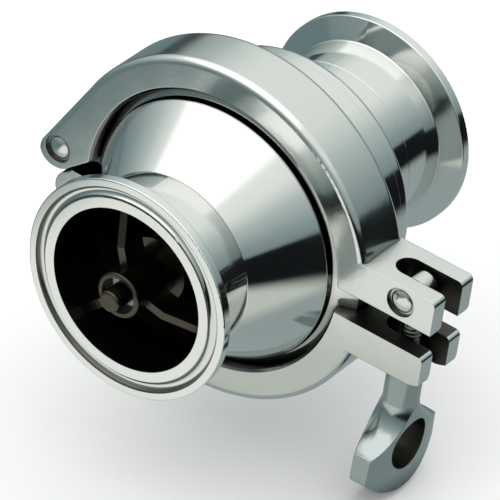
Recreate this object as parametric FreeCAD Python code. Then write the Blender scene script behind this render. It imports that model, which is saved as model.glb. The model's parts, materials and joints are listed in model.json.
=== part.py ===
import FreeCAD, Part
import math
import os

from FreeCAD import Vector

# In-line spring check valve with clamp ends: 2 inch pipe ends and a 3 inch body joint.
# Row frame: X is the flow axis and points to the outlet, Z is up.
# The origin is on the flow axis at the middle of the inlet ferrule's rim. All sizes are in mm.
# The pieces are drawn about the middle of the body joint and moved to the origin when saved.

# ---------------------------------------------------------------- driving sizes
PIPE_R = 25.4                 # outside of the 2 inch pipe stubs
PIPE_BORE_R = 23.75
WALL = PIPE_R - PIPE_BORE_R
PIPE_FLANGE_R = 32.0          # 64 mm clamp ferrule
BODY_R = 38.1                 # outside of the 3 inch body
BODY_BORE_R = BODY_R - WALL
BODY_FLANGE_R = 45.5          # 91 mm clamp ferrule
RIM = 2.85                    # parallel rim of every ferrule
TAPER = math.radians(20)      # back slope of every ferrule
RIM_ROUND = 0.35
ROOT_ROUND = 0.5              # where that slope meets the tube
GASKET = 2.0                  # body gasket thickness at the rims
GROOVE_HALF = 1.6             # gasket groove
GROOVE_DEPTH = 1.4
PIPE_GROOVE_R = 28.25
BODY_GROOVE_R = 41.6
GASKET_EDGE_FIT = 0.4         # gasket edge inside the ferrule edge
BEAD_FIT = 0.1                # bead smaller than its groove
WELD_BEVEL = 0.12             # small bevel that shows each turned joint line

OUTLET_FACE_X = 45.95
CONE_SMALL_X = 26.85
CONE_LARGE_X = 8.95
DRUM_END_X = -29.1            # outer face of the inlet end plate
END_PLATE = 4.0
END_PLATE_ROUND = 1.8
WELD_FOOT = 0.9               # rounded weld between the end plate and the neck
NECK_JOINT_X = -46.75
INLET_FACE_X = -65.85
JOINT_X = -INLET_FACE_X - RIM / 2        # from the row's origin to the body joint

# Valve seat and poppet
SEAT_X = -25.1
SEAT_LAND_R = 26.2
SEAT_LAND_HEIGHT = 0.6
DISC_R = 29.5
DISC_FRONT_X = -24.6
DISC_BACK_X = -20.0
DISC_BOSS_R = 5.8
DISC_BOSS_X = -17.0
DISC_EDGE_BEVEL = 1.4
DISC_BOSS_BEVEL = 0.6
SEAL_R = 28.0
SEAL_BACK_X = -23.0
SEAL_GAP = 0.05
SEAL_BEVEL = 0.5
RETAINER_R = 22.6
RETAINER_RIM_X = -27.1
RETAINER_NOSE_R = 8.0
RETAINER_NOSE_X = -30.6
RETAINER_BELLY_X = -29.7      # middle of its curved front
RETAINER_BELLY_R = 16.5
NUT_FLATS = 10.0
NUT_LENGTH = 4.6
NUT_DOME_R = 4.5
STEM_R = 3.1
STEM_THREAD_R = 2.7
STEM_START_X = -36.0
STEM_END_X = 53.3
STEM_END_ROUND = 0.8

# Stem guide in the outlet and its spring
HUB_R = 6.6
HUB_BORE_R = 5.2
HUB_START_X = 33.0
HUB_END_X = 49.3
HUB_END_ROUND = 0.6
BUSH_START_X = 33.6
BUSH_END_X = 44.5
BUSH_BORE_R = STEM_R + 0.06
VANE_START_X = 37.3
VANE_END_X = 45.0
VANE_TIP_X = 39.5            # the front edge slopes back to this at the wall
VANE_SLOPE_R = 12.0           # where that slope starts
VANE_HALF = 1.2
VANE_ANGLES = (100, 220, 340)  # degrees from +Y
SPRING_WASHER_R = 9.4
SPRING_WASHER_BORE_R = 4.0
SPRING_WASHER_THICK = 1.0
SPRING_MEAN_R = 7.2
SPRING_WIRE_R = 0.9
SPRING_TURNS = 9

# Body clamp. Its two halves, lugs and pins are built upright and then tilted about X.
CLAMP_TILT = -8.4
CLAMP_HALF = 8.85
CLAMP_R = 50.3
CLAMP_LIP_R = 40.8
CLAMP_FLOOR_R = 46.2
CLAMP_FIT = 0.06              # clearance between the ferrules and the clamp groove
CLAMP_EDGE = 2.0
LIP_BEVEL = 0.8
UPPER_SPLIT_Z = 3.7           # faces of the gap between the two halves
LOWER_SPLIT_Z = -4.4
LUG_ROOT_Y = 40.0
UPPER_LUG_END_Y = 71.0
UPPER_LUG_TOP = 14.3
LOWER_LUG_END_Y = 70.0
LOWER_LUG_BOTTOM = -14.3
LUG_END_ROUND = 1.6
UPPER_FOOT_ROUND = 1.2        # bottom edges of the prongs, on their inlet side
LOWER_FOOT_ROUND = 3.0
SLOT_HALF = 3.8
SLOT_ROOT_Y = 53.0

HINGE_Y = -52.0
HINGE_Z = 0.0
EAR_TANGENT = 150.0           # where the ears leave the ring, degrees from +Y
EAR_INSET = 0.05              # start of the ears just inside the ring, so that they fuse cleanly
EAR_R = 6.0
EAR_INNER_Y = -41.0
EAR_INNER_Z = 1.4
EAR_LOW_ANGLE = math.radians(-65)     # points on the ears' round end, from +Y
EAR_SIDE_ANGLE = math.radians(-40)
EAR_FLANK_REACH = 0.76        # bulge of the ears' outer flank, as parts of its width and EAR_R
EAR_FLANK_DROP = 0.70
EAR_OVERLAP_Y = 2.0           # how far the ears reach into the ring where they leave it
EAR_OVERLAP_Z = 1.0
EAR_GAP = 1.0                 # between the ears and the shoulders of the lower half
SHOULDER_R = 5.5              # rounded shoulder of the lower half below the ears
SHOULDER_Y = -45.9
SHOULDER_Z = -10.6
TONGUE_HALF = 3.5
FORK_HALF = 3.6
TONGUE_R = 5.6
TONGUE_ROOM = 0.6             # free space round the tongue in the fork
WEB_SIDE_Y = -43.0            # web that joins the tongue to the lower ring
WEB_SIDE_Z = -9.0
WEB_ROOT_Y = -45.0
WEB_ROOT_Z = -18.0

PIN_R = 3.0
PIN_HOLE_R = 3.02
PIN_HEAD_R = 3.25
PIN_HEAD_DEPTH = 0.9
PIN_HEAD_PROUD = 0.1          # how far the dome stands out of the clamp face
PIN_DOME_R = 6.5
PIN_RECESS_R = 4.2
RUNNING_R = 3.06              # bores that turn on the two pins

# Swing bolt, washer and wing nut. The bolt hangs from its pivot along -Z.
PIVOT_Y = 60.6
PIVOT_Z = 9.2
EYE_R = 4.2
EYE_HALF = 3.2
EYE_BEVEL = 0.8
SHANK_R = 2.9
BOLT_END_Z = -33.2
BOLT_END_BEVEL = 0.7
WASHER_TOP_Z = -15.2
WASHER_THICK = 1.0
WASHER_R = 5.4
NUT_BORE_R = SHANK_R + 0.06
WING_HUB_R = 5.0
WING_TOP_Z = WASHER_TOP_Z - WASHER_THICK
WING_NOTCH_Z = -21.5          # where the wings start to flare from the hub
WING_FLARE_R = 7.2
WING_FLARE_Z = -32.5
WING_TIP_R = 15.2
WING_TIP_Z = -38.8
WING_SIDE_X = 15.6
WING_SIDE_Z = -47.0
WING_BOTTOM_Z = -54.0
WING_HALF_MIDDLE = 5.2
WING_HALF_TIP = 2.1
WING_HOLE_R = 7.5
WING_HOLE_Z = -39.8
PAST = 1.0                    # how far a cutting tool runs past the face it cuts

ORIGIN = Vector(0, 0, 0)
FLOW = Vector(1, 0, 0)
CROSS = Vector(0, 1, 0)
UP = Vector(0, 0, 1)


# ---------------------------------------------------------------- shared helpers
def wire_from(steps, place):
    """Closed wire from points; a pair of points in the list is an arc through the first."""
    flat = [step if not isinstance(step[0], tuple) else step[1] for step in steps]
    edges = []
    for index, step in enumerate(steps):
        start = place(*flat[index - 1])
        end = place(*flat[index])
        if isinstance(step[0], tuple):
            edges.append(Part.Arc(start, place(*step[0]), end).toShape())
        elif start.distanceToPoint(end) > 1e-6:
            edges.append(Part.makeLine(start, end))
    return Part.Wire(edges)


def turned(steps):
    """Solid turned about the flow axis from an outline of (x, radius) points."""
    face = Part.Face(wire_from(steps, lambda x, radius: Vector(x, 0, radius)))
    return face.revolve(ORIGIN, FLOW, 360)


def plate(steps, low_x, high_x):
    """Flat plate with a (y, z) outline, standing across the flow axis."""
    face = Part.Face(wire_from(steps, lambda y, z: Vector(low_x, y, z)))
    return face.extrude(FLOW * (high_x - low_x))


def rod_x(radius, low_x, high_x, y=0.0, z=0.0):
    return Part.makeCylinder(radius, high_x - low_x, Vector(low_x, y, z), FLOW)


def rod_z(radius, low_z, high_z, x=0.0, y=0.0):
    return Part.makeCylinder(radius, high_z - low_z, Vector(x, y, low_z), UP)


def block(low, high):
    size = [b - a for a, b in zip(low, high)]
    return Part.makeBox(*size, Vector(*low))


def ring_edges(shape, radius, x):
    """Circular edges of one radius that lie in the plane at x."""
    found = []
    for edge in shape.Edges:
        curve = edge.Curve
        if isinstance(curve, Part.Circle) and abs(curve.Radius - radius) < 1e-3:
            if abs(edge.CenterOfMass.x - x) < 1e-3:
                found.append(edge)
    return found


def edges_inside(shape, low, high):
    """Edges that lie wholly inside a box."""
    box = FreeCAD.BoundBox(*low, *high)
    return [edge for edge in shape.Edges if box.isInside(edge.BoundBox)]


def mirrored_x(shape):
    return shape.mirror(ORIGIN, FLOW)


def tilted(shape):
    """Turn a clamp piece from its upright frame to its place on the body."""
    moved = shape.copy()
    moved.rotate(ORIGIN, FLOW, CLAMP_TILT)
    return moved


def save(name, shape):
    moved = (shape if len(shape.Solids) > 1 else shape.Solids[0]).copy()
    moved.translate(FLOW * JOINT_X)
    moved.exportStep("parts/" + name + ".step")


# ---------------------------------------------------------------- body
def ferrule(face_x, end_x, flange_r, tube_r, bore_r, groove_r):
    """Clamp ferrule whose face looks along +X, with a short tube behind it."""
    slope_start_x = face_x - RIM
    slope_end_x = slope_start_x - (flange_r - tube_r) * math.tan(TAPER)
    shape = turned([
        (end_x, bore_r),
        (face_x, bore_r),
        (face_x, flange_r),
        (slope_start_x, flange_r),
        (slope_end_x, tube_r),
        (end_x + WELD_BEVEL, tube_r),
        (end_x, tube_r - WELD_BEVEL),
    ])
    groove = turned([
        (face_x, groove_r - GROOVE_HALF),
        ((face_x - GROOVE_DEPTH, groove_r), (face_x, groove_r + GROOVE_HALF)),
    ])
    shape = shape.cut(groove)
    shape = shape.makeFillet(ROOT_ROUND, ring_edges(shape, tube_r, slope_end_x))
    corners = ring_edges(shape, flange_r, face_x) + ring_edges(shape, flange_r, slope_start_x)
    return shape.makeFillet(RIM_ROUND, corners)


def end_ferrule(face_x, end_x):
    return ferrule(face_x, end_x, PIPE_FLANGE_R, PIPE_R, PIPE_BORE_R, PIPE_GROOVE_R)


def joint_ferrule():
    """Body ferrule on the inlet side; its face looks along +X at the gasket."""
    return ferrule(-GASKET / 2, -CONE_LARGE_X, BODY_FLANGE_R, BODY_R, BODY_BORE_R,
                   BODY_GROOVE_R)


def outlet_cone():
    slope = math.atan2(BODY_R - PIPE_R, CONE_SMALL_X - CONE_LARGE_X)
    bevel_x = WELD_BEVEL * math.cos(slope)
    bevel_r = WELD_BEVEL * math.sin(slope)
    return turned([
        (CONE_LARGE_X, BODY_BORE_R),
        (CONE_SMALL_X, PIPE_BORE_R),
        (CONE_SMALL_X, PIPE_R - WELD_BEVEL),
        (CONE_SMALL_X - bevel_x, PIPE_R + bevel_r),
        (CONE_LARGE_X + WELD_BEVEL, BODY_R - WELD_BEVEL * math.tan(slope)),
        (CONE_LARGE_X, BODY_R - WELD_BEVEL),
    ])


def inlet_drum():
    start_x = DRUM_END_X + END_PLATE
    return turned([
        (start_x, BODY_BORE_R),
        (-CONE_LARGE_X, BODY_BORE_R),
        (-CONE_LARGE_X, BODY_R - WELD_BEVEL),
        (-CONE_LARGE_X - WELD_BEVEL, BODY_R),
        (start_x, BODY_R),
    ])


def inlet_end_plate():
    """Flat end of the body with a raised seat land round the inlet hole."""
    inner_x = SEAT_X - SEAT_LAND_HEIGHT
    drum_x = DRUM_END_X + END_PLATE
    shape = turned([
        (DRUM_END_X, PIPE_BORE_R),
        (SEAT_X, PIPE_BORE_R),
        (SEAT_X, SEAT_LAND_R),
        (inner_x, SEAT_LAND_R + SEAT_LAND_HEIGHT),
        (inner_x, BODY_BORE_R),
        (drum_x, BODY_BORE_R),
        (drum_x, BODY_R),
        (DRUM_END_X, BODY_R),
    ])
    return shape.makeFillet(END_PLATE_ROUND, ring_edges(shape, BODY_R, DRUM_END_X))


def inlet_neck_tube():
    """Pipe stub with a fillet-shaped weld foot on the end plate."""
    sag = WELD_FOOT * (1 - math.sqrt(0.5))
    return turned([
        (NECK_JOINT_X, PIPE_BORE_R),
        (DRUM_END_X, PIPE_BORE_R),
        (DRUM_END_X, PIPE_R + WELD_FOOT),
        ((DRUM_END_X - sag, PIPE_R + sag), (DRUM_END_X - WELD_FOOT, PIPE_R)),
        (NECK_JOINT_X + WELD_BEVEL, PIPE_R),
        (NECK_JOINT_X, PIPE_R - WELD_BEVEL),
    ])


def body_gasket():
    """Flat ring with a round bead on each side that sits in the ferrule grooves."""
    half = GASKET / 2
    bead_half = GROOVE_HALF - BEAD_FIT
    bead = GROOVE_DEPTH - BEAD_FIT
    edge_r = BODY_FLANGE_R - GASKET_EDGE_FIT
    return turned([
        (-half, BODY_BORE_R),
        (half, BODY_BORE_R),
        (half, BODY_GROOVE_R - bead_half),
        ((half + bead, BODY_GROOVE_R), (half, BODY_GROOVE_R + bead_half)),
        (half, edge_r),
        (-half, edge_r),
        (-half, BODY_GROOVE_R + bead_half),
        ((-half - bead, BODY_GROOVE_R), (-half, BODY_GROOVE_R - bead_half)),
    ])


# ---------------------------------------------------------------- poppet and guide
def poppet_disc():
    recess_r = SEAL_R + SEAL_GAP
    return turned([
        (DISC_FRONT_X, recess_r),
        (DISC_FRONT_X, DISC_R),
        (DISC_BACK_X - DISC_EDGE_BEVEL, DISC_R),
        (DISC_BACK_X, DISC_R - DISC_EDGE_BEVEL),
        (DISC_BACK_X, DISC_BOSS_R + DISC_BOSS_BEVEL),
        (DISC_BACK_X + DISC_BOSS_BEVEL, DISC_BOSS_R),
        (DISC_BOSS_X, DISC_BOSS_R - DISC_BOSS_BEVEL),
        (DISC_BOSS_X, STEM_THREAD_R),
        (SEAL_BACK_X, STEM_THREAD_R),
        (SEAL_BACK_X, recess_r),
    ])


def seat_seal():
    return turned([
        (SEAT_X, STEM_THREAD_R),
        (SEAL_BACK_X, STEM_THREAD_R),
        (SEAL_BACK_X, SEAL_R),
        (SEAT_X + SEAL_BEVEL, SEAL_R),
        (SEAT_X, SEAL_R - SEAL_BEVEL),
    ])


def seal_retainer():
    """Streamlined plate that clamps the seal against the disc."""
    return turned([
        (SEAT_X, STEM_THREAD_R),
        (SEAT_X, RETAINER_R),
        (RETAINER_RIM_X, RETAINER_R),
        ((RETAINER_BELLY_X, RETAINER_BELLY_R), (RETAINER_NOSE_X, RETAINER_NOSE_R)),
        (RETAINER_NOSE_X, STEM_THREAD_R),
    ])


def retainer_nut():
    """Domed hexagon nut on the inlet end of the stem."""
    corner_r = NUT_FLATS / math.sqrt(3)
    corners = [Vector(RETAINER_NOSE_X - NUT_LENGTH, corner_r * math.cos(math.radians(60 * k)),
                      corner_r * math.sin(math.radians(60 * k))) for k in range(7)]
    hexagon = Part.Face(Part.makePolygon(corners)).extrude(FLOW * NUT_LENGTH)
    dome = Part.makeSphere(NUT_DOME_R, Vector(RETAINER_NOSE_X - NUT_LENGTH, 0, 0))
    hole = rod_x(STEM_THREAD_R, STEM_START_X, RETAINER_NOSE_X)
    return hexagon.fuse(dome).removeSplitter().cut(hole)


def poppet_stem():
    sag = STEM_END_ROUND * (1 - math.sqrt(0.5))
    return turned([
        (STEM_START_X, 0),
        (STEM_START_X, STEM_THREAD_R),
        (DISC_BOSS_X, STEM_THREAD_R),
        (DISC_BOSS_X, STEM_R),
        (STEM_END_X - STEM_END_ROUND, STEM_R),
        ((STEM_END_X - sag, STEM_R - sag), (STEM_END_X, STEM_R - STEM_END_ROUND)),
        (STEM_END_X, 0),
    ])


def guide_hub():
    shape = turned([
        (HUB_START_X, HUB_BORE_R),
        (HUB_END_X, HUB_BORE_R),
        (HUB_END_X, HUB_R),
        (HUB_START_X, HUB_R),
    ])
    return shape.makeFillet(HUB_END_ROUND, ring_edges(shape, HUB_R, HUB_END_X))


def guide_bush():
    return turned([
        (BUSH_START_X, BUSH_BORE_R),
        (BUSH_END_X, BUSH_BORE_R),
        (BUSH_END_X, HUB_BORE_R),
        (BUSH_START_X, HUB_BORE_R),
    ])


def guide_vanes():
    """Three thin vanes on edge, welded between the hub and the outlet bore."""
    outline = [Vector(VANE_START_X, 0, 0), Vector(VANE_END_X, 0, 0),
               Vector(VANE_END_X, VANE_SLOPE_R, 0), Vector(VANE_TIP_X, PIPE_R, 0),
               Vector(VANE_START_X, PIPE_R, 0), Vector(VANE_START_X, 0, 0)]
    vane = Part.Face(Part.makePolygon(outline)).extrude(UP * 2 * VANE_HALF)
    vane.translate(UP * -VANE_HALF)
    bore = rod_x(PIPE_BORE_R, VANE_START_X - PAST, VANE_END_X + PAST)
    hub = rod_x(HUB_R, VANE_START_X - PAST, VANE_END_X + PAST)
    vane = vane.common(bore).cut(hub)
    vanes = []
    for angle in VANE_ANGLES:
        copy = vane.copy()
        copy.rotate(ORIGIN, FLOW, angle)
        vanes.append(copy)
    return Part.makeCompound(vanes)


def spring_washer():
    start_x = HUB_START_X - SPRING_WASHER_THICK
    return turned([
        (start_x, SPRING_WASHER_BORE_R),
        (HUB_START_X, SPRING_WASHER_BORE_R),
        (HUB_START_X, SPRING_WASHER_R),
        (start_x, SPRING_WASHER_R),
    ])


def closing_spring():
    """Round-wire coil between the disc and the spring washer, with ground flat ends."""
    low_x = DISC_BACK_X
    high_x = HUB_START_X - SPRING_WASHER_THICK
    length = high_x - low_x
    pitch = length / SPRING_TURNS
    path = Part.makeHelix(pitch, length, SPRING_MEAN_R)
    section = Part.Wire(Part.makeCircle(SPRING_WIRE_R, Vector(SPRING_MEAN_R, 0, 0), CROSS))
    coil = Part.Wire(path).makePipeShell([section], True, True)
    coil.rotate(ORIGIN, CROSS, 90)
    coil.translate(FLOW * low_x)
    slab = rod_x(SPRING_MEAN_R * 2, low_x, high_x)
    return coil.common(slab)


# ---------------------------------------------------------------- body clamp
def clamp_groove_side():
    """Inside of the clamp on its outlet side, from the lip to the floor of the V groove."""
    rim_x = GASKET / 2 + RIM + CLAMP_FIT
    lip_x = rim_x + (BODY_FLANGE_R - CLAMP_LIP_R) * math.tan(TAPER)
    return [
        (CLAMP_HALF, CLAMP_LIP_R + LIP_BEVEL),
        (CLAMP_HALF - LIP_BEVEL, CLAMP_LIP_R),
        (lip_x, CLAMP_LIP_R),
        (rim_x, BODY_FLANGE_R + CLAMP_FIT),
        (rim_x, CLAMP_FLOOR_R),
    ]


def clamp_groove():
    """Whole inner outline, from the outlet side to the inlet side."""
    side = clamp_groove_side()
    return side + [(-x, radius) for x, radius in reversed(side)]


def clamp_ring():
    """Full ring with the V groove that draws the two body ferrules together."""
    round_off = CLAMP_EDGE * (1 - math.sqrt(0.5))
    shoulder = CLAMP_HALF - round_off
    crown = CLAMP_R - round_off
    return turned(clamp_groove() + [
        (-CLAMP_HALF, CLAMP_R - CLAMP_EDGE),
        ((-shoulder, crown), (-CLAMP_HALF + CLAMP_EDGE, CLAMP_R)),
        (CLAMP_HALF - CLAMP_EDGE, CLAMP_R),
        ((shoulder, crown), (CLAMP_HALF, CLAMP_R - CLAMP_EDGE)),
    ])


def clamp_cavity():
    """Space inside the ring that the two body ferrules fill."""
    lip_r = CLAMP_LIP_R + LIP_BEVEL
    return turned([(CLAMP_R, 0), (CLAMP_R, lip_r)] + clamp_groove() + [
        (-CLAMP_R, lip_r),
        (-CLAMP_R, 0),
    ])


def lug(low_z, high_z, end_y):
    """Solid lug before its slot is cut, with a rounded edge along the top of its end."""
    shape = block((-CLAMP_HALF, LUG_ROOT_Y, low_z), (CLAMP_HALF, end_y, high_z))
    top_edge = edges_inside(shape, (-CLAMP_R, end_y - CLAMP_FIT, high_z - CLAMP_FIT),
                            (CLAMP_R, end_y + CLAMP_FIT, high_z + CLAMP_FIT))
    return shape.makeFillet(LUG_END_ROUND, top_edge)


def foot_cutter(low_z, end_y, radius):
    """Waste outside the rounded bottom edges of the two prongs, on their inlet side."""
    start_y = SLOT_ROOT_Y + SLOT_HALF
    waste = None
    for side_x in (-CLAMP_HALF, SLOT_HALF):
        corner = block((side_x - PAST, start_y, low_z - PAST),
                       (side_x + radius, end_y + PAST, low_z + radius))
        rounding = Part.makeCylinder(
            radius, end_y, Vector(side_x + radius, start_y - PAST, low_z + radius), CROSS)
        corner = corner.cut(rounding)
        waste = corner if waste is None else waste.fuse(corner)
    return waste


def swing_room():
    """Waste under the end of the lower lug, so that the washer swings past it with the bolt."""
    swing_r = PIVOT_Z - WASHER_TOP_Z - CLAMP_FIT
    waste = block((-CLAMP_R, PIVOT_Y, WASHER_TOP_Z),
                  (CLAMP_R, LOWER_LUG_END_Y + PAST, LOWER_SPLIT_Z - PAST))
    return waste.cut(rod_x(swing_r, -CLAMP_R - PAST, CLAMP_R + PAST, PIVOT_Y, PIVOT_Z))


def bolt_slot():
    """Open slot for the swing bolt, with a round root."""
    root = rod_z(SLOT_HALF, -CLAMP_R, CLAMP_R, y=SLOT_ROOT_Y + SLOT_HALF)
    mouth = block((-SLOT_HALF, SLOT_ROOT_Y + SLOT_HALF, -CLAMP_R),
                  (SLOT_HALF, CLAMP_R * 2, CLAMP_R))
    return root.fuse(mouth)


def pin_holes(y, z):
    """Through hole with a shallow head recess on each face of the clamp."""
    face_x = CLAMP_HALF + PAST
    floor_x = CLAMP_HALF - PIN_HEAD_DEPTH
    hole = rod_x(PIN_HOLE_R, -face_x, face_x, y, z)
    front = rod_x(PIN_RECESS_R, floor_x, face_x, y, z)
    back = rod_x(PIN_RECESS_R, -face_x, -floor_x, y, z)
    return hole.fuse(front).fuse(back)


def riveted_pin(y, z):
    """Pin with a low domed head in each recess."""
    seat_x = CLAMP_HALF - PIN_HEAD_DEPTH
    end_x = CLAMP_HALF + PIN_HEAD_PROUD
    head = rod_x(PIN_HEAD_R, seat_x, end_x)
    head = head.common(Part.makeSphere(PIN_DOME_R, Vector(end_x - PIN_DOME_R, 0, 0)))
    pin = rod_x(PIN_R, -seat_x, seat_x).fuse(head).fuse(mirrored_x(head)).removeSplitter()
    pin.translate(Vector(0, y, z))
    return pin


def hinge_ears():
    """Both cheeks of the upper half's fork in one plate, before the fork is cut."""
    angle = math.radians(EAR_TANGENT)
    start_r = CLAMP_R - EAR_INSET
    start_y = start_r * math.cos(angle)
    start_z = start_r * math.sin(angle)
    corner_y = start_y + (HINGE_Z - start_z) / math.tan(angle - math.pi / 2)
    flank = (HINGE_Y + (corner_y - HINGE_Y) * EAR_FLANK_REACH, HINGE_Z - EAR_R * EAR_FLANK_DROP)

    def round_end(turn):
        return (HINGE_Y + EAR_R * math.cos(turn), HINGE_Z + EAR_R * math.sin(turn))

    shape = plate([
        (start_y, start_z),
        (corner_y, HINGE_Z),
        (flank, round_end(-math.pi / 2)),
        (round_end(EAR_LOW_ANGLE), round_end(EAR_SIDE_ANGLE)),
        (EAR_INNER_Y, EAR_INNER_Z),
        (start_y + EAR_OVERLAP_Y, start_z - EAR_OVERLAP_Z),
    ], -CLAMP_HALF, CLAMP_HALF)
    back_edges = []
    for edge in shape.Edges:
        middle = edge.CenterOfMass
        on_back = Vector(middle.x, (start_y + corner_y) / 2, (start_z + HINGE_Z) / 2)
        if middle.distanceToPoint(on_back) < EAR_INSET:
            back_edges.append(edge)
    return shape.makeFillet(CLAMP_EDGE, back_edges)


def hinge_fork():
    """Space in the upper half that the tongue of the lower half turns in."""
    room_r = TONGUE_R + TONGUE_ROOM
    round_part = rod_x(room_r, -FORK_HALF, FORK_HALF, HINGE_Y, HINGE_Z)
    reach = block((-FORK_HALF, HINGE_Y - room_r, HINGE_Z - 2 * EAR_R),
                  (FORK_HALF, HINGE_Y + 2 * EAR_R, HINGE_Z))
    return round_part.fuse(reach)


def clamp_upper_half():
    ring = clamp_ring()
    lug_side = block((-CLAMP_R, 0, UPPER_SPLIT_Z), (CLAMP_R, 2 * CLAMP_R, 2 * CLAMP_R))
    hinge_side = block((-CLAMP_R, -2 * CLAMP_R, EAR_INNER_Z), (CLAMP_R, 0, 2 * CLAMP_R))
    shape = ring.common(lug_side.fuse(hinge_side))
    top_lug = lug(UPPER_SPLIT_Z, UPPER_LUG_TOP, UPPER_LUG_END_Y)
    for extra in (hinge_ears().Solids[0], top_lug):
        shape = shape.fuse(extra.cut(clamp_cavity()))
    shape = shape.removeSplitter()
    shape = shape.cut(bolt_slot()).cut(hinge_fork())
    shape = shape.cut(foot_cutter(UPPER_SPLIT_Z, UPPER_LUG_END_Y, UPPER_FOOT_ROUND))
    shape = shape.cut(pin_holes(PIVOT_Y, PIVOT_Z)).cut(pin_holes(HINGE_Y, HINGE_Z))
    return tilted(shape)


def clamp_lower_half():
    ring = clamp_ring()
    low_box = block((-CLAMP_R, -2 * CLAMP_R, -2 * CLAMP_R),
                    (CLAMP_R, 2 * CLAMP_R, LOWER_SPLIT_Z))
    shape = ring.common(low_box)
    shoulder = rod_x(SHOULDER_R, -CLAMP_HALF, CLAMP_HALF, SHOULDER_Y, SHOULDER_Z)
    shoulder = shoulder.common(low_box).cut(clamp_cavity())
    ear_space = rod_x(EAR_R + EAR_GAP, -CLAMP_R, CLAMP_R, HINGE_Y, HINGE_Z)
    shape = shape.fuse(shoulder).cut(ear_space)
    bottom_lug = lug(LOWER_LUG_BOTTOM, LOWER_SPLIT_Z, LOWER_LUG_END_Y)
    shape = shape.fuse(bottom_lug.cut(clamp_cavity())).removeSplitter()
    shape = shape.cut(bolt_slot())
    shape = shape.cut(swing_room())
    shape = shape.cut(foot_cutter(LOWER_LUG_BOTTOM, LOWER_LUG_END_Y, LOWER_FOOT_ROUND))
    eye = rod_x(TONGUE_R, -TONGUE_HALF, TONGUE_HALF, HINGE_Y, HINGE_Z)
    web = plate([
        (HINGE_Y - TONGUE_R, HINGE_Z),
        (HINGE_Y + TONGUE_R, HINGE_Z),
        (WEB_SIDE_Y, WEB_SIDE_Z),
        (WEB_ROOT_Y, WEB_ROOT_Z),
    ], -TONGUE_HALF, TONGUE_HALF)
    tongue = eye.fuse(web).cut(clamp_cavity())
    shape = shape.fuse(tongue).removeSplitter()
    shape = shape.cut(rod_x(RUNNING_R, -CLAMP_HALF, CLAMP_HALF, HINGE_Y, HINGE_Z))
    return tilted(shape)


# ---------------------------------------------------------------- swing bolt and wing nut
def swing_bolt():
    eye = turned([
        (-EYE_HALF, 0),
        (-EYE_HALF, EYE_R - EYE_BEVEL),
        (-EYE_HALF + EYE_BEVEL, EYE_R),
        (EYE_HALF - EYE_BEVEL, EYE_R),
        (EYE_HALF, EYE_R - EYE_BEVEL),
        (EYE_HALF, 0),
    ])
    eye.translate(Vector(0, PIVOT_Y, PIVOT_Z))
    shank = rod_z(SHANK_R, BOLT_END_Z, PIVOT_Z, y=PIVOT_Y)
    tip = [edge for edge in shank.Edges if abs(edge.BoundBox.ZMax - BOLT_END_Z) < 1e-3]
    shank = shank.makeChamfer(BOLT_END_BEVEL, tip)
    shape = eye.fuse(shank).removeSplitter()
    shape = shape.cut(rod_x(RUNNING_R, -CLAMP_HALF, CLAMP_HALF, PIVOT_Y, PIVOT_Z))
    return tilted(shape)


def nut_washer():
    shape = rod_z(WASHER_R, WING_TOP_Z, WASHER_TOP_Z, y=PIVOT_Y)
    bore = rod_z(NUT_BORE_R, WING_TOP_Z - PAST, WASHER_TOP_Z + PAST, y=PIVOT_Y)
    return tilted(shape.cut(bore))


def wing_outline():
    """Front view of the two wings: straight sides and a curved foot."""
    return [
        (-WING_TIP_R, WING_NOTCH_Z),
        (WING_TIP_R, WING_NOTCH_Z),
        (WING_TIP_R, WING_TIP_Z),
        (WING_SIDE_X, WING_SIDE_Z),
        ((0, WING_BOTTOM_Z), (-WING_SIDE_X, WING_SIDE_Z)),
        (-WING_TIP_R, WING_TIP_Z),
    ]


def wing_blank():
    """Round blank whose neck flares out to the wing tips."""
    foot_r = WING_SIDE_X + PAST
    outline = wire_from([
        (0, WING_TOP_Z),
        (WING_HUB_R, WING_TOP_Z),
        (WING_HUB_R, WING_NOTCH_Z),
        ((WING_FLARE_R, WING_FLARE_Z), (WING_TIP_R, WING_TIP_Z)),
        (foot_r, WING_SIDE_Z),
        (foot_r, WING_BOTTOM_Z),
        (0, WING_BOTTOM_Z),
    ], lambda radius, z: Vector(radius, 0, z))
    return Part.Face(outline).revolve(ORIGIN, UP, 360)


def wing_plan():
    """Top view of the wing nut: thick in the middle and thin at the wing tips."""
    reach = WING_SIDE_X + PAST
    return [
        (-reach, -WING_HALF_TIP),
        ((0, -WING_HALF_MIDDLE), (reach, -WING_HALF_TIP)),
        (reach, WING_HALF_TIP),
        ((0, WING_HALF_MIDDLE), (-reach, WING_HALF_TIP)),
    ]


def wing_nut():
    side_y = WING_HALF_MIDDLE + PAST
    front = Part.Face(wire_from(wing_outline(), lambda x, z: Vector(x, -side_y, z)))
    slab = front.extrude(CROSS * 2 * side_y)
    top = Part.Face(wire_from(wing_plan(), lambda x, y: Vector(x, y, WING_BOTTOM_Z)))
    column = top.extrude(UP * (WING_TOP_Z - WING_BOTTOM_Z))
    body = slab.common(column).common(wing_blank())
    hub = rod_z(WING_HUB_R, WING_HOLE_Z, WING_TOP_Z)
    shape = hub.fuse(body).removeSplitter()
    hole = Part.makeCylinder(WING_HOLE_R, 2 * side_y, Vector(0, -side_y, WING_HOLE_Z), CROSS)
    shape = shape.cut(hole).cut(rod_z(NUT_BORE_R, WING_HOLE_Z, WING_TOP_Z + PAST))
    shape.translate(Vector(0, PIVOT_Y, 0))
    return tilted(shape)


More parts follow.
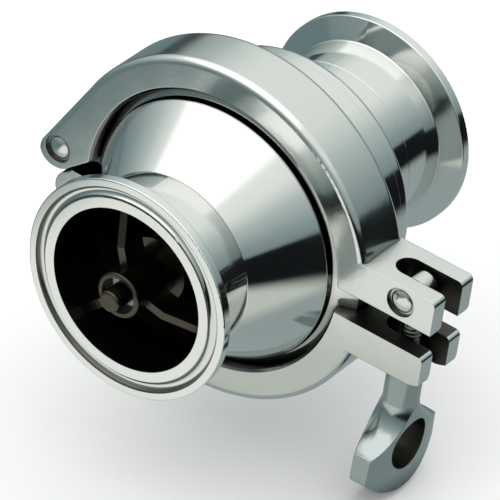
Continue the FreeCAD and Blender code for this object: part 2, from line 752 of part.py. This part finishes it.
# ---------------------------------------------------------------- write every node
PIECES = {
    "outlet_end_ferrule": end_ferrule(OUTLET_FACE_X, CONE_SMALL_X),
    "outlet_cone": outlet_cone(),
    "outlet_joint_ferrule": mirrored_x(joint_ferrule()),
    "body_gasket": body_gasket(),
    "inlet_joint_ferrule": joint_ferrule(),
    "inlet_drum": inlet_drum(),
    "inlet_end_plate": inlet_end_plate(),
    "inlet_neck_tube": inlet_neck_tube(),
    "inlet_end_ferrule": mirrored_x(end_ferrule(-INLET_FACE_X, -NECK_JOINT_X)),
    "guide_vanes": guide_vanes(),
    "guide_hub": guide_hub(),
    "guide_bush": guide_bush(),
    "spring_washer": spring_washer(),
    "closing_spring": closing_spring(),
    "poppet_disc": poppet_disc(),
    "poppet_stem": poppet_stem(),
    "seat_seal": seat_seal(),
    "seal_retainer": seal_retainer(),
    "retainer_nut": retainer_nut(),
    "clamp_upper_half": clamp_upper_half(),
    "clamp_lower_half": clamp_lower_half(),
    "hinge_pin": tilted(riveted_pin(HINGE_Y, HINGE_Z)),
    "bolt_pivot_pin": tilted(riveted_pin(PIVOT_Y, PIVOT_Z)),
    "swing_bolt": swing_bolt(),
    "nut_washer": nut_washer(),
    "wing_nut": wing_nut(),
}

os.makedirs("parts", exist_ok=True)
for name, shape in PIECES.items():
    save(name, shape)
    print(name, shape.isValid(), len(shape.Solids), round(shape.Volume, 1))
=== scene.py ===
import json
import math

import bpy
from mathutils import Matrix, Vector


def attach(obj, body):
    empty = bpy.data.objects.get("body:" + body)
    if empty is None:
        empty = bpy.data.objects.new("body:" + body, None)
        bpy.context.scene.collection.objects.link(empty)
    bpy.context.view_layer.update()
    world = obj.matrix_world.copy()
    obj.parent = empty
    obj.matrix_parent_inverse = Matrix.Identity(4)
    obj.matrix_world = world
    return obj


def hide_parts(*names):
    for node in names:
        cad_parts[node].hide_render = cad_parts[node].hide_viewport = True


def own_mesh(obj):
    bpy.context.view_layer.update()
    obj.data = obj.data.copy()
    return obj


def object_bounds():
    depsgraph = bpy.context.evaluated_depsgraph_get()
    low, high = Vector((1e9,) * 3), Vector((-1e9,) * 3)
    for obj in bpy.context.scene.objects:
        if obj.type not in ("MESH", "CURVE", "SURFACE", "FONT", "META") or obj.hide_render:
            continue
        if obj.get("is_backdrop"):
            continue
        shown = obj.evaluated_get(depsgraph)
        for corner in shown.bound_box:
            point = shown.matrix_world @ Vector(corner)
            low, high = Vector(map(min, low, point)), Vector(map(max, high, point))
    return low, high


# Visual model of the spring check valve. Metres, in the CAD's frame: X is the flow axis.
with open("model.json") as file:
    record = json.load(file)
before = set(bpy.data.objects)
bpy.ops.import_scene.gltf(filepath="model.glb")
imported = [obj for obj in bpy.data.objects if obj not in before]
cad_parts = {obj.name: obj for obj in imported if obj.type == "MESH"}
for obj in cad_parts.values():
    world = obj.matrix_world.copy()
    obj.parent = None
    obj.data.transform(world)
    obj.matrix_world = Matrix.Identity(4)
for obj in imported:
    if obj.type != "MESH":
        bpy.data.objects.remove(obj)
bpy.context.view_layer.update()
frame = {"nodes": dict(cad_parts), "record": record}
NODES = frame["nodes"]
MM = 0.001


# ---------------------------------------------------------------- sizes taken from the part
JOINT_X = 64.425 * MM                   # from the origin to the middle of the body joint
SPRING_LOW_X = JOINT_X - 20.0 * MM
SPRING_HIGH_X = JOINT_X + 32.0 * MM
SPRING_MEAN_R = 7.2 * MM
SPRING_WIRE_R = 0.88 * MM
SPRING_TURNS = 9                        # open turns; one closed turn more at each end
END_TURN_CLIMB = 0.035                  # share of the spring's length in each closed turn
COIL_STEPS = 64                         # mesh rings per turn
COIL_SIDES = 14
CLAMP_TILT = math.radians(8.4)          # lean of the clamp and its bolt about X
SLOT_HALF = 3.8 * MM
GAP_MIDDLE_Z = -0.35 * MM               # gap between the lugs, before the tilt
GAP_HALF = 4.05 * MM
LUG_START = (44 * MM, 47 * MM)          # across Y
SLOT_ROOT_CENTRE_Y = 56.8 * MM
WING_HOLE_R = 7.5 * MM
WING_HOLE_Z = -39.8 * MM
PIVOT_Y = 60.6 * MM                     # bolt pivot, before the tilt
PIVOT_Z = 9.2 * MM
EYE_R = 4.2 * MM
EYE_HALF = 3.2 * MM
EYE_BEVEL = 0.8 * MM
EYE_BORE_R = 3.06 * MM
SHANK_R = 2.9 * MM
BOLT_END_Z = -33.2 * MM
BOLT_END_BEVEL = 0.7 * MM
THREAD_PITCH = 1.27 * MM
THREAD_DEPTH = 0.38 * MM
THREAD_START_Z = 3.0 * MM               # where the thread runs out below the eye
THREAD_ROWS = 8                         # mesh rings per pitch
BOLT_SIDES = 64
SHARP_ANGLE = math.radians(35)          # edges of the bolt sharper than this stay sharp

# ---------------------------------------------------------------- surface values
BORE_SHADE_COLOUR = (0.16, 0.15, 0.13)        # painted shade inside the bores, which are also rougher
# painted shade in the bolt slot, the gap between the lugs and the wing nut's finger hole
INSIDE_SHADE_COLOUR = (0.09, 0.085, 0.07)
# painted shade deep in slots, gaps and corners, weighted by each point's open sky
RECESS_SHADE_COLOUR = (0.05, 0.05, 0.045)
RUBBER_COLOUR = (0.018, 0.018, 0.02)
RUBBER_EDGE_COLOUR = (0.05, 0.05, 0.052)
PLASTIC_COLOUR = (0.80, 0.79, 0.75)
PLASTIC_EDGE_COLOUR = (0.88, 0.87, 0.84)
RECESS_DEPTH = 12 * MM
BODY_RECESS_SHADE = (0.30, 0.72)              # open sky where the painted recess shade is full, and where it ends
CLAMP_RECESS_SHADE = (0.46, 0.86)
RING_STRETCH = (1.0, 0.04, 0.04)        # noise scale along and across the flow axis
MARK_STRETCH = (1.0, 0.1, 0.1)
SMEAR_RANGE = (0.35, 0.7)               # noise values of the cleanest and dullest steel
WEAR_COSINES = (0.995, 0.85)            # between bevelled and true normal: no wear, and full wear
BORE_COSINES = (-0.3, -0.6)             # between outward and the surface normal: outside, and a bore
MASK_EDGE = (0.15 * MM, 0.05 * MM)      # outer and inner end of a mask's fade, past its edge
BEVEL_SAMPLES = 6
SKY_SAMPLES = 8


# ---------------------------------------------------------------- material helpers
def smooth_step(tree, value, low, high):
    """0 below low and 1 above high, with soft ends; low may be the larger value."""
    node = tree.nodes.new("ShaderNodeMapRange")
    node.interpolation_type = "SMOOTHSTEP"
    node.inputs["From Min"].default_value = low
    node.inputs["From Max"].default_value = high
    tree.links.new(value, node.inputs["Value"])
    return node.outputs["Result"]


def join(tree, operation, first, second=0.0):
    """Result of a calculation on one or two values, each a number or a socket."""
    node = tree.nodes.new("ShaderNodeMath")
    node.operation = operation
    for socket, value in zip(node.inputs, (first, second)):
        if isinstance(value, (int, float)):
            socket.default_value = value
        else:
            tree.links.new(value, socket)
    return node.outputs["Value"]


def patch(tree, *edges):
    """1 where each value is past its own soft edge, and 0 where any of them isn't."""
    share = 1.0
    for value, (low, high) in edges:
        share = join(tree, "MULTIPLY", share, smooth_step(tree, value, low, high))
    return share


def blend_colour(tree, factor, first, second):
    """The first colour where the factor is 0, the second where it is 1."""
    node = tree.nodes.new("ShaderNodeMix")
    node.data_type = "RGBA"
    tree.links.new(factor, node.inputs["Factor"])
    for socket, value in ((node.inputs["A"], first), (node.inputs["B"], second)):
        if isinstance(value, tuple):
            socket.default_value = (*value, 1.0)
        else:
            tree.links.new(value, socket)
    return node.outputs["Result"]


def dimmed(colour, share):
    return tuple(share * channel for channel in colour)


class Shader:
    """Small wrapper that adds and links nodes of one material."""

    def __init__(self, name):
        self.material = bpy.data.materials.new(name)
        self.material.use_nodes = True
        self.tree = self.material.node_tree
        self.tree.nodes.clear()
        self.output = self.add("ShaderNodeOutputMaterial")
        self.surface = self.add("ShaderNodeBsdfPrincipled")
        self.link(self.surface.outputs["BSDF"], self.output.inputs["Surface"])
        self.position = self.add("ShaderNodeTexCoord").outputs["Object"]

    def add(self, kind, **settings):
        node = self.tree.nodes.new(kind)
        for key, value in settings.items():
            setattr(node, key, value)
        return node

    def link(self, source, target):
        self.tree.links.new(source, target)

    def set(self, node, **values):
        """Values of unlinked inputs; an underscore stands for the space in an input's name."""
        for key, value in values.items():
            node.inputs[key.replace("_", " ")].default_value = value

    def stretched(self, scale):
        mapping = self.add("ShaderNodeMapping")
        self.set(mapping, Scale=scale)
        self.link(self.position, mapping.inputs["Vector"])
        return mapping.outputs["Vector"]

    def noise(self, vector, scale, detail, roughness):
        node = self.add("ShaderNodeTexNoise")
        self.set(node, Scale=scale, Detail=detail, Roughness=roughness)
        self.link(vector, node.inputs["Vector"])
        return node.outputs["Fac"]

    def ramp(self, value, low, high, out_low=0.0, out_high=1.0):
        node = self.add("ShaderNodeMapRange")
        self.set(node, From_Min=low, From_Max=high, To_Min=out_low, To_Max=out_high)
        self.link(value, node.inputs["Value"])
        return node.outputs["Result"]

    def math(self, operation, first, second=0.0):
        return join(self.tree, operation, first, second)

    def raised(self, value, share, by):
        """The value, higher by a fixed amount where the share is 1."""
        return self.math("ADD", value, self.math("MULTIPLY", share, by))

    def mix_colour(self, factor, first, second):
        return blend_colour(self.tree, factor, first, second)

    def cosine(self, first, second):
        """Cosine of the angle between two unit vectors."""
        dot = self.add("ShaderNodeVectorMath", operation="DOT_PRODUCT")
        self.link(first, dot.inputs[0])
        self.link(second, dot.inputs[1])
        return dot.outputs["Value"]

    def bump(self, height, strength, distance, before=None):
        node = self.add("ShaderNodeBump")
        self.set(node, Strength=strength, Distance=distance)
        self.link(height, node.inputs["Height"])
        if before is not None:
            self.link(before, node.inputs["Normal"])
        return node.outputs["Normal"]

    def bevelled_normal(self, radius):
        bevel = self.add("ShaderNodeBevel", samples=BEVEL_SAMPLES)
        self.set(bevel, Radius=radius)
        return bevel.outputs["Normal"]

    def edge_wear(self, radius):
        """1 near edges, 0 elsewhere."""
        geometry = self.add("ShaderNodeNewGeometry")
        turn = self.cosine(self.bevelled_normal(radius), geometry.outputs["Normal"])
        return self.ramp(turn, *WEAR_COSINES)

    def shade_recesses(self, colour, shaded_to_open):
        """Darken a colour with painted shade deep in slots and gaps, where little light gets in."""
        open_sky = self.add("ShaderNodeAmbientOcclusion", samples=SKY_SAMPLES)
        self.set(open_sky, Distance=RECESS_DEPTH)
        unshaded = self.ramp(open_sky.outputs["AO"], *shaded_to_open)
        return self.mix_colour(unshaded, RECESS_SHADE_COLOUR, colour)

    def finished(self, roughness, colour, normal):
        """The material, with its three varying values linked to the surface."""
        for name, value in (("Roughness", roughness), ("Base Color", colour), ("Normal", normal)):
            self.link(value, self.surface.inputs[name])
        return self.material


def faces_axis(shader):
    """1 on surfaces that look towards the flow axis, such as the bores, and 0 outside."""
    geometry = shader.add("ShaderNodeNewGeometry")
    outward = shader.add("ShaderNodeVectorMath", operation="MULTIPLY")
    shader.link(shader.position, outward.inputs[0])
    outward.inputs[1].default_value = (0, 1, 1)
    unit = shader.add("ShaderNodeVectorMath", operation="NORMALIZE")
    shader.link(outward.outputs["Vector"], unit.inputs[0])
    facing = shader.cosine(unit.outputs["Vector"], geometry.outputs["True Normal"])
    return shader.ramp(facing, *BORE_COSINES)


def upright_axes(shader):
    """Position along the clamp's own axes, with its tilt taken out."""
    turned = shader.add("ShaderNodeMapping")
    shader.set(turned, Rotation=(CLAMP_TILT, 0, 0))
    shader.link(shader.position, turned.inputs["Vector"])
    axes = shader.add("ShaderNodeSeparateXYZ")
    shader.link(turned.outputs["Vector"], axes.inputs["Vector"])
    return axes.outputs["X"], axes.outputs["Y"], axes.outputs["Z"]


def within(shader, value, middle, half):
    """1 where a value lies within a band, 0 outside, with a narrow soft edge."""
    away = shader.math("ABSOLUTE", shader.math("SUBTRACT", value, middle))
    outer, inner = MASK_EDGE
    return smooth_step(shader.tree, away, half + outer, half + inner)


def diagonal(shader, first, second):
    """Length of the hypotenuse over two sides."""
    squares = [shader.math("MULTIPLY", side, side) for side in (first, second)]
    return shader.math("SQRT", shader.math("ADD", *squares))


def lug_insides(shader):
    """1 in the round-rooted bolt slot and on the faces of the gap between the lugs, where shade is
    painted.
    """
    x, y, z = upright_axes(shader)
    across = shader.math("SUBTRACT", x, JOINT_X)
    before_root = shader.math("MINIMUM", shader.math("SUBTRACT", y, SLOT_ROOT_CENTRE_Y), 0.0)
    slot = within(shader, diagonal(shader, across, before_root), 0.0, SLOT_HALF)
    gap = shader.math("MULTIPLY", within(shader, z, GAP_MIDDLE_Z, GAP_HALF),
                      smooth_step(shader.tree, y, *LUG_START))
    return shader.math("MAXIMUM", slot, gap)


def finger_hole(shader):
    """1 on the wall of the hole through the wing nut, where shade is painted."""
    x, _, z = upright_axes(shader)
    across = shader.math("SUBTRACT", x, JOINT_X)
    down = shader.math("SUBTRACT", z, WING_HOLE_Z)
    return within(shader, diagonal(shader, across, down), 0.0, WING_HOLE_R)


# ---------------------------------------------------------------- materials
def turned_steel(name, colour, roughness, ring_depth):
    """Polished stainless steel with fine lathe rings round the flow axis."""
    shader = Shader(name)
    shader.set(shader.surface, Metallic=1.0)
    bore = faces_axis(shader)
    rings = shader.noise(shader.stretched(RING_STRETCH), scale=2600.0, detail=2.0, roughness=0.6)
    smears = shader.noise(shader.position, scale=55.0, detail=4.0, roughness=0.6)
    worn = shader.edge_wear(radius=0.4 * MM)
    rough = shader.ramp(smears, *SMEAR_RANGE, out_low=0.8 * roughness, out_high=1.35 * roughness)
    rough = shader.raised(rough, worn, by=0.06)
    rough = shader.raised(rough, bore, by=0.16)
    tint = shader.mix_colour(smears, dimmed(colour, 0.95), colour)
    # painted shade on surfaces that face the flow axis
    tint = shader.mix_colour(bore, tint, BORE_SHADE_COLOUR)
    soft = shader.bevelled_normal(radius=0.15 * MM)
    normal = shader.bump(rings, strength=0.25, distance=ring_depth, before=soft)
    return shader.finished(rough, shader.shade_recesses(tint, BODY_RECESS_SHADE), normal)


def cast_steel(name, colour, roughness, shaded_part=None):
    """Investment-cast and tumbled steel: wavy, with soft edges; the masked part is rougher and
    carries painted shade.
    """
    shader = Shader(name)
    shader.set(shader.surface, Metallic=1.0)
    waves = shader.noise(shader.position, scale=140.0, detail=2.0, roughness=0.5)
    grain = shader.noise(shader.position, scale=2400.0, detail=3.0, roughness=0.6)
    smears = shader.noise(shader.position, scale=60.0, detail=4.0, roughness=0.6)
    worn = shader.edge_wear(radius=0.6 * MM)
    rough = shader.ramp(smears, *SMEAR_RANGE, out_low=0.8 * roughness, out_high=1.4 * roughness)
    rough = shader.raised(rough, worn, by=0.05)
    tint = shader.mix_colour(smears, dimmed(colour, 0.94), colour)
    if shaded_part:
        inside = shaded_part(shader)
        # the masked part is rougher and takes painted shade
        rough = shader.raised(rough, inside, by=0.25)
        tint = shader.mix_colour(inside, tint, INSIDE_SHADE_COLOUR)
    soft = shader.bevelled_normal(radius=0.4 * MM)
    wavy = shader.bump(waves, strength=0.35, distance=0.16 * MM, before=soft)
    normal = shader.bump(grain, strength=0.12, distance=0.02 * MM, before=wavy)
    return shader.finished(rough, shader.shade_recesses(tint, CLAMP_RECESS_SHADE), normal)


def rubber(name):
    """Black rubber with fine grain, dusty in patches and paler at its edges."""
    shader = Shader(name)
    grain = shader.noise(shader.position, scale=1500.0, detail=3.0, roughness=0.6)
    dust = shader.noise(shader.position, scale=120.0, detail=4.0, roughness=0.6)
    worn = shader.edge_wear(radius=0.4 * MM)
    rough = shader.ramp(dust, low=0.3, high=0.7, out_low=0.55, out_high=0.75)
    tint = shader.mix_colour(worn, RUBBER_COLOUR, RUBBER_EDGE_COLOUR)
    return shader.finished(rough, tint, shader.bump(grain, strength=0.3, distance=0.05 * MM))


def white_plastic(name):
    """Off-white plastic with turning marks round the flow axis."""
    shader = Shader(name)
    marks = shader.noise(shader.stretched(MARK_STRETCH), scale=1600.0, detail=2.0, roughness=0.5)
    haze = shader.noise(shader.position, scale=160.0, detail=3.0, roughness=0.5)
    worn = shader.edge_wear(radius=0.3 * MM)
    rough = shader.ramp(haze, low=0.3, high=0.7, out_low=0.35, out_high=0.5)
    tint = shader.mix_colour(worn, PLASTIC_COLOUR, PLASTIC_EDGE_COLOUR)
    return shader.finished(rough, tint, shader.bump(marks, strength=0.2, distance=0.02 * MM))


BODY_STEEL = turned_steel("body_steel", (0.80, 0.81, 0.79), 0.085, 0.0035 * MM)
CLAMP_STEEL = cast_steel("clamp_steel", (0.76, 0.77, 0.75), 0.14)
LUG_STEEL = cast_steel("lug_steel", (0.76, 0.77, 0.75), 0.14, lug_insides)
WING_STEEL = cast_steel("wing_steel", (0.47, 0.52, 0.52), 0.16, finger_hole)
# very dark colour: painted shade on the parts deep inside the body
INNER_STEEL_SHADED = turned_steel("inner_steel", (0.085, 0.075, 0.058), 0.30, 0.02 * MM)
RUBBER = rubber("gasket_rubber")
PLASTIC = white_plastic("guide_plastic")
SLOT_MATERIALS = {
    "body_steel": BODY_STEEL,
    "clamp_steel": CLAMP_STEEL,
    "inner_steel": INNER_STEEL_SHADED,
    "gasket_rubber": RUBBER,
    "guide_plastic": PLASTIC,
}


def paint(piece, slot):
    """Give a piece the material of its slot, and nothing else."""
    piece.data.materials.clear()
    piece.data.materials.append(SLOT_MATERIALS[slot])


for entry in frame["record"]["subparts"]:
    paint(NODES[entry["node"]], entry["material_slot"])

# These three get painted shade in their bolt slot, lug gap and finger hole.
for name, material in (("wing_nut", WING_STEEL), ("clamp_upper_half", LUG_STEEL),
                       ("clamp_lower_half", LUG_STEEL)):
    NODES[name].data.materials[0] = material


# ---------------------------------------------------------------- spring and swing bolt
def new_piece(name, vertices, faces):
    """New object with a mesh of its own."""
    mesh = bpy.data.meshes.new(name)
    mesh.from_pydata(vertices, [], faces)
    piece = bpy.data.objects.new(name, mesh)
    bpy.context.scene.collection.objects.link(piece)
    return piece


def shade_smooth(mesh):
    mesh.polygons.foreach_set("use_smooth", [True] * len(mesh.polygons))


def circle(sides):
    """Angles of evenly spaced points, once round."""
    return [2 * math.pi * k / sides for k in range(sides)]


def coil_piece(name, low_x, high_x, mean_r, wire_r, turns):
    """Round-wire coil about the flow axis with closed, ground ends."""
    all_turns = turns + 2
    steps = COIL_STEPS * all_turns
    sides = COIL_SIDES
    closed = 1.0 / all_turns

    def climb(t):
        """Share of the length at share t of the wire; the end turns lie flat."""
        if t < closed:
            return END_TURN_CLIMB * t / closed
        if t > 1 - closed:
            return 1 - END_TURN_CLIMB * (1 - t) / closed
        return END_TURN_CLIMB + (1 - 2 * END_TURN_CLIMB) * (t - closed) / (1 - 2 * closed)

    vertices = []
    for i in range(steps + 1):
        t = i / steps
        angle = 2 * math.pi * all_turns * t
        x = low_x + wire_r + (high_x - low_x - 2 * wire_r) * climb(t)
        for around in circle(sides):
            radius = mean_r + wire_r * math.cos(around)
            level = min(max(x + wire_r * math.sin(around), low_x), high_x)
            vertices.append((level, radius * math.cos(angle), radius * math.sin(angle)))
    faces = []
    for i in range(steps):
        for k in range(sides):
            a = i * sides + k
            b = i * sides + (k + 1) % sides
            faces.append((a, a + sides, b + sides, b))
    faces.append(tuple(range(sides)))
    faces.append(tuple(steps * sides + k for k in reversed(range(sides))))
    piece = new_piece(name, vertices, faces)
    shade_smooth(piece.data)
    return piece


def eye_rings(sides):
    """Rings of the eye about its own bore, from one end round the outside and back."""
    outline = [
        (-EYE_HALF, EYE_BORE_R),
        (-EYE_HALF, EYE_R - EYE_BEVEL),
        (-EYE_HALF + EYE_BEVEL, EYE_R),
        (EYE_HALF - EYE_BEVEL, EYE_R),
        (EYE_HALF, EYE_R - EYE_BEVEL),
        (EYE_HALF, EYE_BORE_R),
    ]
    rings = []
    for x, radius in outline:
        rings.append([(x, PIVOT_Y + radius * math.cos(angle), PIVOT_Z + radius * math.sin(angle))
                      for angle in circle(sides)])
    return rings


def shank_rings(sides):
    """Rings of the threaded shank, from its bevelled end up into the eye."""
    rows = round((PIVOT_Z - BOLT_END_Z) / (THREAD_PITCH / THREAD_ROWS))
    eye_wall_r = (EYE_BORE_R + EYE_R) / 2
    rings = []
    for i in range(rows + 1):
        ring = []
        for k, angle in enumerate(circle(sides)):
            y = SHANK_R * math.sin(angle)
            top = PIVOT_Z - math.sqrt(eye_wall_r ** 2 - y ** 2)
            z = BOLT_END_Z + (top - BOLT_END_Z) * i / rows
            turn = (z / THREAD_PITCH - k / sides) % 1.0
            fade = min(max((THREAD_START_Z - z) / THREAD_PITCH, 0.0), 1.0)
            radius = SHANK_R - THREAD_DEPTH * fade * (1 - abs(2 * turn - 1))
            radius = min(radius, SHANK_R - BOLT_END_BEVEL + z - BOLT_END_Z)
            ring.append((radius * math.cos(angle), PIVOT_Y + radius * math.sin(angle), z))
        rings.append(ring)
    return rings


def bolt_piece(name, sides):
    """Eye bolt with a cut thread, drawn upright and then tilted with the clamp."""
    vertices = []
    faces = []
    for rings, capped in ((eye_rings(sides), False), (shank_rings(sides), True)):
        first = len(vertices)
        for ring in rings:
            vertices.extend(ring)
        count = len(vertices) - first
        bands = len(rings) - 1 if capped else len(rings)
        for i in range(bands):
            for k in range(sides):
                a = i * sides + k
                b = i * sides + (k + 1) % sides
                corners = (a, b, b + sides, a + sides)
                faces.append(tuple(first + corner % count for corner in corners))
        if capped:
            faces.append(tuple(first + k for k in reversed(range(sides))))
            faces.append(tuple(first + count - sides + k for k in range(sides)))
    piece = new_piece(name, vertices, faces)
    tilt = Matrix.Rotation(-CLAMP_TILT, 4, "X")
    piece.data.transform(Matrix.Translation((JOINT_X, 0, 0)) @ tilt)
    shade_smooth(piece.data)
    piece.data.set_sharp_from_angle(angle=SHARP_ANGLE)
    return piece


bolt = bolt_piece("eye_bolt", BOLT_SIDES)
paint(bolt, "clamp_steel")
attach(bolt, "bolt")
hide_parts("swing_bolt")

spring = coil_piece("coil_spring", SPRING_LOW_X, SPRING_HIGH_X, SPRING_MEAN_R, SPRING_WIRE_R,
                    SPRING_TURNS)
paint(spring, "inner_steel")
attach(spring, "valve_body")
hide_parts("closing_spring")
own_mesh(spring)

# ---------------------------------------------------------------- stage
CAMERA_AZIMUTH = math.radians(36.2)     # from +X towards +Y
CAMERA_ELEVATION = math.radians(30.7)
CAMERA_DISTANCE = 1.422
CAMERA_LENS = 381.7                     # millimetres, on a sensor of the width below
SENSOR_WIDTH = 36.0
VIEW_DEPTH = 20.0
TARGET_X = JOINT_X - 14.35 * MM         # the camera's angles are taken about this point
TARGET = Vector((TARGET_X, 0, 0))
AIM_LEFT = 3.30 * MM                    # from the target to the middle of the picture
AIM_BELOW = 14.67 * MM

# Surroundings. Heights are the sine of the elevation; colours are linear.
WALL_STOPS = [
    (-1.00, (0.31, 0.41, 0.40)),
    (-0.80, (0.28, 0.38, 0.37)),
    (-0.45, (0.17, 0.24, 0.24)),
    (-0.15, (0.15, 0.21, 0.21)),
    (0.15, (0.28, 0.36, 0.36)),
    (0.42, (0.50, 0.58, 0.57)),
    (0.62, (0.86, 0.90, 0.87)),
    (0.85, (0.98, 1.00, 0.97)),
]
FLAG_COLOUR = (0.008, 0.010, 0.011)     # dark card on the lug side
FLAG_SIDE = (0.35, 0.62)
FLAG_TOP = (0.03, -0.06)
FLAG_FOOT = (-0.62, -0.42)
BOX_COLOUR = (1.45, 1.45, 1.43)         # soft box overhead
BOX_RIGHT = (0.62, 0.36)
BOX_LEFT = (-1.30, -0.95)
BOX_FRONT = (1.6, 1.1)
BOX_BACK = (-0.9, -0.3)
BOX_RISE = (0.05, 0.15)                 # fades in above the horizon
LOWEST_RISE = 0.02                      # keeps the division by the height finite
SHADE_COLOUR = (0.05, 0.07, 0.07)       # low dark band behind the hinge
SHADE_SIDE = (-0.40, -0.60)
SHADE_BACK = (-0.25, -0.50)
SHADE_TOP = (0.24, 0.12)
SHADE_FOOT = (-0.08, 0.02)
DIFFUSE_WORLD = (1.30, 1.30, 1.30)
BACKDROP = (1.0, 1.0, 1.0)
FLOOR_HALF = 3.0
FLOOR_DROP = 2 * MM                     # below the lowest point of the part
FLOOR_COLOURS = ((0.94, 0.94, 0.94), (0.96, 0.96, 0.96))
# Painted reflection: for glossy rays the floor glows with these colours instead of being lit.
TABLE_NEAR = (0.60, 0.64, 0.59)
TABLE_FAR = (0.16, 0.23, 0.24)
TABLE_FADE = (-0.045, -0.16)            # across Y, towards the hinge side
TABLE_FLAG = (0.10, 0.16)               # across Y, towards the lug side
TABLE_FRONT = (0.92, 0.95, 0.91)
TABLE_FRONT_EDGE = (0.12, 0.16)         # along X, in front of the outlet
TABLE_FRONT_END = (-0.125, -0.095)      # across Y
# painted shadow of the body in the glowing table
TABLE_UNDER_SHADOW = (0.33, 0.39, 0.39)
TABLE_UNDER_SHADOW_EDGE = (0.098, 0.086)       # along X, edge of the painted shadow below the body


def look_from(place, aim):
    """Matrix of a camera at a place, level and pointed at the aim."""
    turn = (aim - place).to_track_quat("-Z", "Y").to_matrix().to_4x4()
    return Matrix.Translation(place) @ turn


def photo_camera():
    """Long lens from in front, to the right and above."""
    out = Vector((math.cos(CAMERA_AZIMUTH) * math.cos(CAMERA_ELEVATION),
                  math.sin(CAMERA_AZIMUTH) * math.cos(CAMERA_ELEVATION),
                  math.sin(CAMERA_ELEVATION)))
    place = TARGET + out * CAMERA_DISTANCE
    straight = look_from(place, TARGET)
    right = straight.to_3x3() @ Vector((1, 0, 0))
    up = straight.to_3x3() @ Vector((0, 1, 0))
    aim = TARGET - right * AIM_LEFT - up * AIM_BELOW
    data = bpy.data.cameras.new("photo_camera")
    data.lens = CAMERA_LENS
    data.sensor_width = SENSOR_WIDTH
    data.clip_end = VIEW_DEPTH
    camera = bpy.data.objects.new("photo_camera", data)
    camera.matrix_world = look_from(place, aim)
    bpy.context.scene.collection.objects.link(camera)
    bpy.context.scene.camera = camera


def studio_world():
    """White backdrop for the camera; soft box, grey walls and a dark flag for reflections."""
    world = bpy.data.worlds.new("studio")
    bpy.context.scene.world = world
    world.use_nodes = True
    tree = world.node_tree
    tree.nodes.clear()
    coordinates = tree.nodes.new("ShaderNodeTexCoord")
    axes = tree.nodes.new("ShaderNodeSeparateXYZ")
    tree.links.new(coordinates.outputs["Generated"], axes.inputs["Vector"])
    x, y, z = axes.outputs["X"], axes.outputs["Y"], axes.outputs["Z"]

    ramp = tree.nodes.new("ShaderNodeValToRGB")
    stops = ramp.color_ramp.elements
    for _ in range(len(WALL_STOPS) - len(stops)):
        stops.new(0.5)                  # moved to its place below
    for stop, (height, colour) in zip(stops, WALL_STOPS):
        stop.position = (height + 1) / 2
        stop.color = (*colour, 1.0)
    tree.links.new(join(tree, "MULTIPLY", join(tree, "ADD", z, 1.0), 0.5), ramp.inputs["Fac"])
    colour = ramp.outputs["Color"]

    flag = patch(tree, (y, FLAG_SIDE), (z, FLAG_TOP), (z, FLAG_FOOT))
    colour = blend_colour(tree, flag, colour, FLAG_COLOUR)

    shade = patch(tree, (y, SHADE_SIDE), (x, SHADE_BACK), (z, SHADE_TOP), (z, SHADE_FOOT))
    colour = blend_colour(tree, shade, colour, SHADE_COLOUR)

    above = join(tree, "MAXIMUM", z, LOWEST_RISE)
    across = join(tree, "DIVIDE", y, above)
    along = join(tree, "DIVIDE", x, above)
    box_light = patch(tree, (z, BOX_RISE), (across, BOX_RIGHT), (across, BOX_LEFT),
                      (along, BOX_FRONT), (along, BOX_BACK))
    colour = blend_colour(tree, box_light, colour, BOX_COLOUR)

    path = tree.nodes.new("ShaderNodeLightPath")
    colour = blend_colour(tree, path.outputs["Is Diffuse Ray"], colour, DIFFUSE_WORLD)
    colour = blend_colour(tree, path.outputs["Is Camera Ray"], colour, BACKDROP)
    background = tree.nodes.new("ShaderNodeBackground")
    tree.links.new(colour, background.inputs["Color"])
    output = tree.nodes.new("ShaderNodeOutputWorld")
    tree.links.new(background.outputs["Background"], output.inputs["Surface"])


def floor():
    """Pale floor; for glossy rays it glows as a painted table, grey with a painted shadow below the
    body, darkening towards the flag.
    """
    low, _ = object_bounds()
    level = low.z - FLOOR_DROP
    corners = [(x, y, level) for x, y in ((-FLOOR_HALF, -FLOOR_HALF), (FLOOR_HALF, -FLOOR_HALF),
                                          (FLOOR_HALF, FLOOR_HALF), (-FLOOR_HALF, FLOOR_HALF))]
    ground = new_piece("floor", corners, [(0, 1, 2, 3)])
    shader = Shader("floor_white")
    grain = shader.noise(shader.position, scale=30.0, detail=3.0, roughness=0.5)
    shader.link(shader.mix_colour(grain, *FLOOR_COLOURS), shader.surface.inputs["Base Color"])
    shader.set(shader.surface, Roughness=0.9)

    axes = shader.add("ShaderNodeSeparateXYZ")
    shader.link(shader.position, axes.inputs["Vector"])
    x, y = axes.outputs["X"], axes.outputs["Y"]
    table = TABLE_NEAR
    for edges, colour in (
        ([(x, TABLE_UNDER_SHADOW_EDGE)], TABLE_UNDER_SHADOW),
        ([(y, TABLE_FADE)], TABLE_FAR),
        ([(x, TABLE_FRONT_EDGE), (y, TABLE_FRONT_END)], TABLE_FRONT),
        ([(y, TABLE_FLAG)], FLAG_COLOUR),
    ):
        table = shader.mix_colour(patch(shader.tree, *edges), table, colour)

    glow = shader.add("ShaderNodeEmission")
    shader.link(table, glow.inputs["Color"])
    path = shader.add("ShaderNodeLightPath")
    mirror = shader.add("ShaderNodeMixShader")
    shader.link(path.outputs["Is Glossy Ray"], mirror.inputs["Fac"])
    shader.link(shader.surface.outputs["BSDF"], mirror.inputs[1])
    shader.link(glow.outputs["Emission"], mirror.inputs[2])
    shader.link(mirror.outputs["Shader"], shader.output.inputs["Surface"])
    ground.data.materials.append(shader.material)
    ground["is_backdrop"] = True


photo_camera()
studio_world()
floor()
bpy.context.scene.view_settings.view_transform = "Standard"
